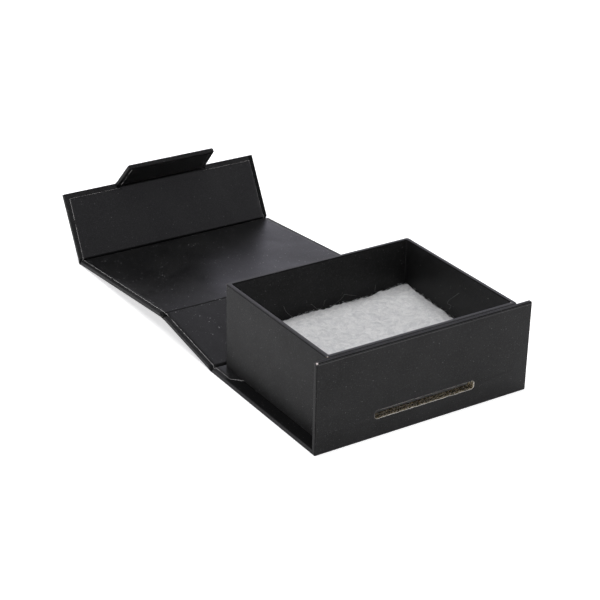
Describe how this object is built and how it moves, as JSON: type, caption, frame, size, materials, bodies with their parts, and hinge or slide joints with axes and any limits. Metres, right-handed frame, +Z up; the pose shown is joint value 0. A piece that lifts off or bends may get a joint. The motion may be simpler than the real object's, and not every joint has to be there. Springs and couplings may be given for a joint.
{
  "type": "gift box",
  "caption": "Small rigid gift box with an open tray on a hinged wrap-round cover, whose front flap closes with a tab tucked into a slot.",
  "frame": {"origin": "middle of the base's underside, which lies on the table", "axes": "+X across the box, +Y from the front panel towards the spine and the opened lid, +Z up"},
  "size_m": [0.122, 0.2577, 0.051],
  "materials": {
    "outer_black_paper": "matte",
    "lining_black_paper": "satin",
    "greyboard": "matte",
    "stay_paper": "matte",
    "wadding": "matte"
  },
  "bodies": {
    "tray_and_base": {"base_board": "greyboard", "base_wrap": "outer_black_paper", "base_lining_tongue": "lining_black_paper", "front_board": "greyboard", "front_wrap": "outer_black_paper", "tray_floor_board": "greyboard", "tray_front_wall": "greyboard", "tray_back_wall": "greyboard", "tray_left_wall": "greyboard", "tray_right_wall": "greyboard", "tray_corner_stays": "stay_paper", "tray_wrap": "outer_black_paper", "tray_floor_paper": "outer_black_paper", "wadding_pad": "wadding"},
    "spine": {"spine_board": "greyboard", "spine_wrap": "outer_black_paper", "spine_lining": "lining_black_paper"},
    "lid": {"lid_board": "greyboard", "lid_wrap": "outer_black_paper", "lid_lining": "lining_black_paper"},
    "flap": {"flap_board": "greyboard", "flap_wrap": "outer_black_paper", "flap_lining": "lining_black_paper"},
    "tab": {"tab_board": "greyboard", "tab_wrap": "outer_black_paper", "tab_lining": "lining_black_paper"}
  },
  "joints": [
    {"name": "spine_hinge", "type": "hinge", "parent": "tray_and_base", "child": "spine", "pos_m": [0, 0.0468, 0.0002], "axis": [1, 0, 0], "range_deg": [-9.2, 80.8]},
    {"name": "lid_hinge", "type": "hinge", "parent": "spine", "child": "lid", "pos_m": [0, 0.09616, 0.00819], "axis": [1, 0, 0], "range_deg": [-2, 103.96]},
    {"name": "flap_hinge", "type": "hinge", "parent": "lid", "child": "flap", "pos_m": [0, 0.19212, 0.0002], "axis": [1, 0, 0], "range_deg": [-66.56, 23.44]},
    {"name": "tab_hinge", "type": "hinge", "parent": "flap", "child": "tab", "pos_m": [0, 0.2106, 0.03466], "axis": [1, 0, 0], "range_deg": [-70.7, 19.3]}
  ]
}
